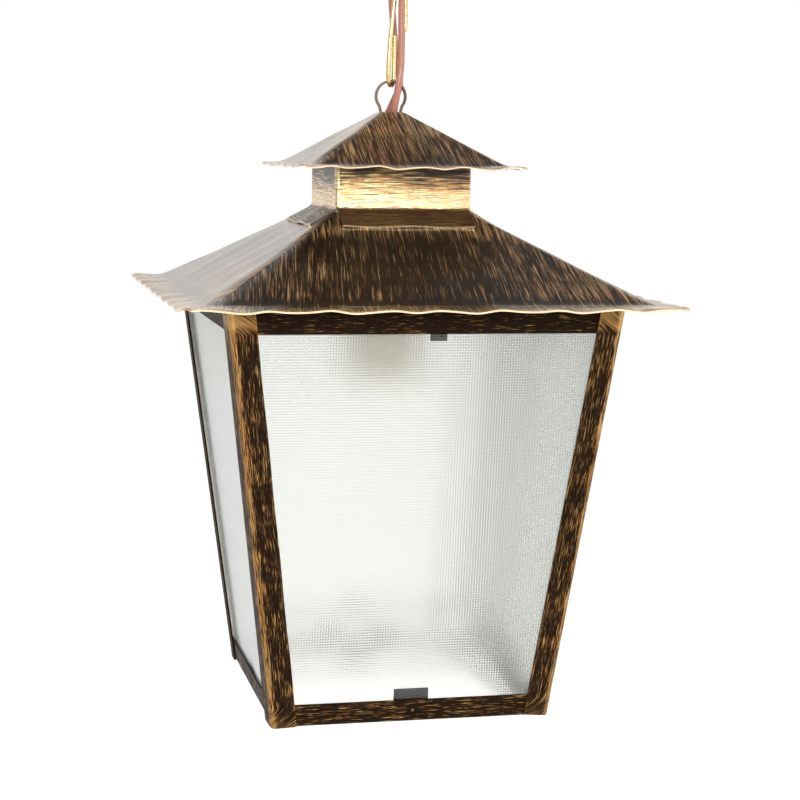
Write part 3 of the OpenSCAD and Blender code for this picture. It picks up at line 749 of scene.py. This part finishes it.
# ---------------------------------------------------------------- posts and rails
def make_post(quarter, node):
    """An angle bent from sheet, standing in a corner of the leaning house."""
    rng = np.random.default_rng(40 + quarter)
    sheets = Sheets()
    fold = 2.8 * MM
    # the front left post was bent a little less than square
    splay = 0.09 if node == "post_front_left" else 0.01
    flat = np.linspace(POST_LEG, fold, 9)
    arc = np.linspace(0, math.pi / 2, 9)
    across = np.array([(-splay * (s - fold), s) for s in flat]
                      + [(fold - fold * math.cos(a), fold - fold * math.sin(a)) for a in arc[1:-1]]
                      + [(s, 0) for s in flat[::-1]])
    run = run_along(across)
    rows = np.linspace(0, FRAME_TOP - 3.6 * MM, 84)     # short of the roof's rounded hips
    corner = half_at(rows)
    wobble = 0.12 * MM * sway(rows, 55 * MM, rng.uniform(0, 6))
    x = -corner[:, None] + across[None, :, 0] + wobble[:, None] * (across[None, :, 0] > fold)
    y = -corner[:, None] + across[None, :, 1]
    z = np.repeat(rows[:, None], len(across), 1)
    # the feet were cut by hand, not quite square
    z[0] += np.interp(run, [0, run[-1] / 2, run[-1]], [0.9, 0, 0.5]) * MM
    from_fold = np.abs(run - run[-1] / 2)
    from_free = np.minimum(run, run[-1] - run)
    under_top = rows - FRAME_TOP
    # gold on the fold and the free edges, a patch near the top, painted shade in the top few
    # millimetres under the roof, gold feet, and less gold on the back posts as painted shade
    wear_and_painted_light = (0.24 * (1 - ease((from_fold - 1.2 * MM) / (1.6 * MM)))[None, :]
            + 0.07 * (1 - ease(from_free / (1.0 * MM)))[None, :]
            + 0.24 * np.exp(-((under_top + 12 * MM) / (5.0 * MM)) ** 4)[:, None]
            - 0.20 * ease((under_top + 5 * MM) / (3 * MM))[:, None]
            + 0.06 * (1 - ease(rows / (9 * MM)))[:, None]
            - (0.14 if "back" in node else 0.0))
    # near the ends the brush was drawn aslant
    aslant = 1.4 * (np.clip(under_top + 18 * MM, 0, None) + np.clip(9 * MM - rows, 0, None))
    u = run[None, :] + aslant[:, None] + quarter * 0.3
    uv = np.stack([u, z + quarter], 2)
    sheets.add(np.stack([x, y, z], 2), uv, from_fold[None, :] + 1.4 * MM + 0 * z, wear_and_painted_light, quarter)
    angle = sheets.build(node + "_angle", frame_paint, lining=primer)
    wrap_up(angle, "lantern", "antique_steel", node)


for index, post in enumerate(POSTS):
    make_post(index, post)


def make_rail(quarter, node, low, high, ledge_at_top, cover, weld_x):
    """A strip behind the posts' legs with a ledge folded inward, dimpled where its clip is welded.
    cover is the gold added to it and weld_x the place of the weld."""
    sheets = Sheets()
    depth, ledge, fold = 1.05 * MM, 8.6 * MM, 1.2 * MM
    start, end, way = (low, high - fold, 1) if ledge_at_top else (high, low + fold, -1)
    section = [(depth, z) for z in np.linspace(start, end, 17)]
    for a in np.linspace(0, math.pi / 2, 6)[1:]:
        section.append((depth + fold * (1 - math.cos(a)), end + way * fold * math.sin(a)))
    for t in np.linspace(0, ledge - fold, 5)[1:]:
        section.append((depth + fold + t, end + way * fold))
    section = np.array(section if ledge_at_top else section[::-1])
    run = run_along(section)
    reach = half_at(section[:, 1]) - np.maximum(section[:, 0], 2.1 * MM)
    near_weld = weld_x / reach.mean() + np.linspace(-2.6, 2.6, 27) * MM / reach.mean()
    side = np.unique(np.concatenate([np.linspace(-1, 1, 61), near_weld]))
    x = reach[:, None] * side[None, :]
    middle = (low + high) / 2 + (0.3 if ledge_at_top else 0.0) * (high - low)
    from_weld = np.hypot(x - weld_x, section[:, 1:] - middle)
    upright = (section[:, 0] <= depth + 1e-9)[:, None]
    dent = np.where(upright, 0.45 * MM * hump(from_weld, 1.1 * MM), 0)
    y = -(half_at(section[:, 1]) - section[:, 0])[:, None] + dent
    z = section[:, 1:] + 0 * x
    uv = np.stack([run[:, None] + quarter * 0.4 + 0 * x, x + quarter], 2)
    wear_and_painted_light = cover + np.where(upright, 0.35 * hump(from_weld, 0.8 * MM)
                            - 0.3 * hump(from_weld - 2.0 * MM, 0.7 * MM), 0)
    sheets.add(np.stack([x, y, z], 2), uv, 2 * MM, wear_and_painted_light, quarter)
    strip = sheets.build(node + "_strip", frame_paint, lining=primer)
    wrap_up(strip, "lantern", "antique_steel", node)


for index, side_name in enumerate(SIDES):
    make_rail(index, "bottom_rail_" + side_name, 0.3 * MM, BOTTOM_RAIL, ledge_at_top=False,
              cover=-0.02, weld_x=0.5 * MM)
    # the top rails get less gold than the bottom ones: painted shade under the roof's overhang
    make_rail(index, "top_rail_" + side_name, TOP_RAIL_LOW, FRAME_TOP - 0.2 * MM,
              ledge_at_top=True, cover=-0.12, weld_x=1.5 * MM)


# ---------------------------------------------------------------- glass
def make_pane(quarter, node):
    """A tapered pane, smooth outside and pressed inside with a square grid of small pyramids."""
    pitch, relief, thick, depth, margin = 1.28 * MM, 0.12 * MM, 3 * MM, 2.1 * MM, 7.0 * MM
    low, high = 1.4 * MM / math.cos(LEAN), 208.1 * MM / math.cos(LEAN)
    rows = int((high - low) / pitch) + 1
    up = np.linspace(low, high, rows)
    half = FOOT_HALF + up * math.sin(LEAN) - margin
    columns = 2 * (int(half[-1] / pitch) + 1) + 1
    base = (np.arange(columns) - columns // 2) * pitch
    # the grid keeps its pitch, and its outer columns are drawn in to the slanting edges
    x = np.clip(base[None, :], -half[:, None], half[:, None])
    upward = up[:, None] + 0 * x
    middle_x = (x[:-1, :-1] + x[1:, :-1] + x[1:, 1:] + x[:-1, 1:]) / 4
    middle_up = (upward[:-1, :-1] + upward[1:, 1:]) / 2

    def place(px, py, pu):
        flat = np.stack([px, -FOOT_HALF + py * math.cos(LEAN) - pu * math.sin(LEAN),
                         py * math.sin(LEAN) + pu * math.cos(LEAN)], -1)
        return hung(turned(flat, quarter))

    valleys = place(x, depth + thick - relief + 0 * x, upward).reshape(-1, 3)
    peaks = place(middle_x, depth + thick + 0 * middle_x, middle_up).reshape(-1, 3)
    index = np.arange(rows * columns).reshape(rows, columns)
    peak = index.size + np.arange((rows - 1) * (columns - 1)).reshape(rows - 1, columns - 1)
    wide = np.abs(np.diff(x, axis=1))
    low_wide, high_wide = wide[:-1] > 1e-7, wide[1:] > 1e-7
    bm = bmesh.new()
    verts = [bm.verts.new(p) for p in np.concatenate([valleys, peaks])]
    for r, c in zip(*np.nonzero(low_wide | high_wide)):
        ring = [index[r, c], index[r, c + 1], index[r + 1, c + 1], index[r + 1, c]]
        if min(wide[r, c], wide[r + 1, c]) < 0.9 * pitch:      # too narrow for a pyramid
            bm.faces.new([verts[i] for i in ring])
        else:
            for first, second in zip(ring, ring[1:] + ring[:1]):
                bm.faces.new([verts[first], verts[second], verts[peak[r, c]]])
    bmesh.ops.remove_doubles(bm, verts=[verts[i] for i in index.ravel()], dist=1e-6)
    bmesh.ops.delete(bm, geom=[v for v in bm.verts if not v.link_faces], context="VERTS")
    rim = [e for e in bm.edges if e.is_boundary]
    made = bmesh.ops.extrude_edge_only(bm, edges=rim)["geom"]
    here, inward = place(np.zeros(2), np.array([depth, depth + 1]), np.zeros(2))
    direction = Vector(inward - here).normalized()
    for v in made:      # the rim's copy is pushed back onto the flat outer face
        if isinstance(v, bmesh.types.BMVert):
            v.co -= direction * (v.co - Vector(here)).dot(direction)
    bmesh.ops.contextual_create(bm, geom=[e for e in bm.edges if e.is_boundary])
    bmesh.ops.recalc_face_normals(bm, faces=bm.faces)
    mesh = bpy.data.meshes.new(node + "_pane")
    bm.to_mesh(mesh)
    bm.free()
    pane = link_mesh(node + "_pane", mesh, glass_material, 5)
    wrap_up(pane, "lantern", "patterned_glass", node)


for index, side_name in enumerate(SIDES):
    make_pane(index, "glass_" + side_name)


# ---------------------------------------------------------------- loop, link and hook
def make_loop():
    """A strip bent round like an omega, its ends through the cap and turned out beneath it."""
    centre, radius = 302, 7.5
    arc = [(radius * math.sin(a), 0, centre + radius * math.cos(a))
           for a in np.radians(np.linspace(-128, 128, 33))]
    leg = [(5.15, 0, 294.6), (5.1, 0, 292), (5.15, 0, 288.6), (5.8, 0, 287.95), (9.2, 0, 287.95)]
    path = [(-x, y, z) for x, y, z in leg[::-1]] + arc + leg
    strip = [(1.6, 0.32), (1.42, 0.5), (-1.42, 0.5), (-1.6, 0.32),
             (-1.6, -0.32), (-1.42, -0.5), (1.42, -0.5), (1.6, -0.32)]
    section = [(u * MM, v * MM) for u, v in strip]
    path = curve_through(in_frame(path), 3)
    piece = swept("loop_strip", path, section, (0, 1, 0), loop_metal, 35)
    wrap_up(piece, "lantern", "antique_steel", "hanging_loop")


make_loop()

LINK_TURN = math.radians(-30)
WIRE_SIDE = np.array([math.cos(LINK_TURN), math.sin(LINK_TURN), 0])
WIRE_OVER = np.array([-math.sin(LINK_TURN), math.cos(LINK_TURN), 0])
UPWARD = np.array([0, 0, 1])
# in mm: the link's highest and lowest points, the radius it is bent to over the hook, and the wires
LINK_HIGH, LINK_LOW, HANG_R = 359.4, 307.55, 2.9
LINK_WIRE_R, HOOK_WIRE_R, HOOK_RING_R = 1.1, 1.5, 7


def over_hook(degrees, aside):
    """A point of the link where it is laid over the hook's wire."""
    a = math.radians(degrees)
    around = math.sin(a) * WIRE_OVER + math.cos(a) * UPWARD
    return tuple(UPWARD * (LINK_HIGH - HANG_R) + HANG_R * around + aside * WIRE_SIDE)


def make_link():
    """A long wire link, sprung open on one side, its ends cut off and slightly rounded."""
    lower = [(2.3, 3.9, 333), (2.3, 3.9, 323), (2.25, 3.9, 314), (1.95, 3.4, LINK_LOW + 2.05),
             (1.1, 1.9, LINK_LOW + 0.2), (0, 0, LINK_LOW), (-1.1, -1.9, LINK_LOW + 0.2),
             (-1.95, -3.4, LINK_LOW + 2.05), (-2.25, -3.9, 314), (-1.8, -4.1, 326),
             (-0.6, -4.2, 340), (0.3, -4.1, 350)]
    bend = [over_hook(a, 0.8 + 1.2 * (a / 90) ** 2) for a in (-90, -45, 0, 45)]
    upper = [(4.9, 2, 356.9), (6.8, 2.2, 353.5), (7.5, 2.3, 345), (7.3, 2.3, 334)]
    path = curve_through(in_frame(lower + bend + upper), 8)
    ends = np.ones(len(path))
    ends[:3] = ends[-3:][::-1] = (0.72, 0.92, 0.99)
    section = ring_of(LINK_WIRE_R * MM, 24)
    piece = swept("link_wire", path, section, WIRE_SIDE, gilt, grow=ends)
    wrap_up(piece, "link", "gilt_wire", "chain_link")


make_link()


def make_hook():
    """A wire ring almost closed, on a threaded shank through the canopy."""
    centre = UPWARD * (LINK_HIGH - HANG_R + HOOK_RING_R)
    turn = [tuple(centre + HOOK_RING_R * (math.cos(a) * WIRE_SIDE + math.sin(a) * UPWARD))
            for a in np.radians(np.linspace(90, 405, 64))]
    ends = np.ones(len(turn))
    ends[-3:] = (0.97, 0.85, 0.6)
    section = ring_of(HOOK_WIRE_R * MM, 24)
    ring = swept("hook_ring", in_frame(turn), section, WIRE_OVER, gilt, grow=ends)
    crest, root, half_pitch, thread_low, around = 2.5, 2.2, 0.35, 376, 32
    outline = [(1.6, 370.2)]
    for i, z in enumerate(np.arange(371.2, 399.5, half_pitch)):
        outline.append((crest if i % 2 or z < thread_low else root, z))
    mesh = bpy.data.meshes.new("hook_shank")
    bm = bmesh.new()
    rings = [[bm.verts.new(hang(r * math.cos(a), r * math.sin(a), z))
              for a in np.linspace(0, 2 * math.pi, around + 1)[:-1]] for r, z in outline]
    for low_ring, high_ring in zip(rings, rings[1:]):
        for k in range(around):
            beside = (k + 1) % around
            bm.faces.new((low_ring[k], low_ring[beside], high_ring[beside], high_ring[k]))
    bm.faces.new(rings[0][::-1])
    bm.faces.new(rings[-1])
    bm.to_mesh(mesh)
    bm.free()
    shank = link_mesh("hook_shank", mesh, gilt, 60)
    wrap_up(ring, "ceiling_fitting", "gilt_wire", "ceiling_hook")
    wrap_up(shank, "ceiling_fitting", "gilt_wire")


make_hook()


# ---------------------------------------------------------------- CAD nodes that keep their shape
KEPT = {
    "mounting_bar": zinc, "ceiling_canopy": canopy_paint, "hook_nuts": zinc,
    "terminal_block": ivory, "canopy_grommet": rubber, "cap_grommet": rubber,
    "top_glass_clips": black_steel, "bottom_glass_clips": black_steel,
    "holder_strap": black_steel, "holder_nipple": zinc,
    "nipple_nuts": zinc, "holder_cap": porcelain, "holder_skirt": porcelain,
    "holder_insert": porcelain, "screw_shell": brass, "centre_contact": brass,
    "inner_wires": flex_pvc,
}
for node_name, material in KEPT.items():
    node_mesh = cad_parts[node_name].data
    node_mesh.materials.clear()
    node_mesh.materials.append(material)
    node_mesh.shade_smooth()
    node_mesh.set_sharp_from_angle(angle=math.radians(32))


# ---------------------------------------------------------------- studio
def make_studio():
    """Pale surroundings up to head height under a dark ceiling, dimmer at the front, which the
    paint and glass reflect. The camera sees white, and so do rays that have passed through glass,
    a little dimmed."""
    scene = bpy.context.scene
    scene.view_settings.view_transform = "Standard"
    world = bpy.data.worlds.new("studio")
    scene.world = world
    world.use_nodes = True
    tree = world.node_tree
    tree.nodes.clear()
    direction = add_node(tree, "ShaderNodeTexCoord").outputs["Generated"]
    _, depth, height = add_node(tree, "ShaderNodeSeparateXYZ", {0: direction}).outputs
    around = ramp(tree, remap(tree, height, -1.0, 1.0),
                  [(0.0, (0.8, 0.77, 0.74)), (0.45, (1, 0.965, 0.93)), (0.70, (1, 0.955, 0.91)),
                   (0.80, (0.45, 0.42, 0.40)), (0.90, (0.16, 0.15, 0.15)),
                   (1.0, (0.14, 0.13, 0.13))])
    around = mix(tree, remap(tree, depth, -0.8, 0.05, 0.85, 0.0), around, (0, 0, 0, 1))
    path = add_node(tree, "ShaderNodeLightPath")
    by_camera, through_glass = path.outputs["Is Camera Ray"], path.outputs["Is Transmission Ray"]
    strength = plus(tree, 1.0, times(tree, through_glass, -0.13))
    seen = maths(tree, "MAXIMUM", by_camera, through_glass)
    background = add_node(tree, "ShaderNodeBackground", {
        "Color": mix(tree, seen, around, (1, 1, 1, 1)), "Strength": strength})
    add_node(tree, "ShaderNodeOutputWorld", {"Surface": background.outputs[0]})


make_studio()


def make_floor():
    """A pale floor far below, lit like a light table."""
    material, tree, bsdf = new_material("pale_floor")
    shades = [(0.3, (0.90, 0.90, 0.90)), (0.7, (0.93, 0.93, 0.93))]
    tree.links.new(ramp(tree, noise(tree, object_coords(tree), 3.0), shades),
                   bsdf.inputs["Base Color"])
    bsdf.inputs["Roughness"].default_value = 0.8
    bsdf.inputs["Emission Color"].default_value = (1, 1, 1, 1)
    bsdf.inputs["Emission Strength"].default_value = 0.76
    size, low = 8.0, -1.4
    corners = [(-size, -size, low), (size, -size, low), (size, size, low), (-size, size, low)]
    mesh = bpy.data.meshes.new("floor")
    mesh.from_pydata(corners, [], [(0, 1, 2, 3)])
    link_mesh("floor", mesh, material)


make_floor()


def area_light(name, place, target, size, power, colour=(1, 1, 1)):
    """A rectangular light turned to a target, its size in metres and its power in watts."""
    data = bpy.data.lights.new(name, "AREA")
    data.shape = "RECTANGLE"
    data.size, data.size_y = size
    data.energy = power
    data.color = colour
    light = bpy.data.objects.new(name, data)
    light.location = place
    towards = Vector(target) - Vector(place)
    light.rotation_euler = towards.to_track_quat("-Z", "Y").to_euler()
    bpy.context.scene.collection.objects.link(light)


LANTERN_MIDDLE = (0, 0, -0.2)
area_light("key", (-0.5, -2.2, 0.35), LANTERN_MIDDLE, (1.6, 0.7), 60, (1, 0.97, 0.92))
area_light("fill", (1.8, -1.0, -0.2), LANTERN_MIDDLE, (1.0, 1.4), 14)
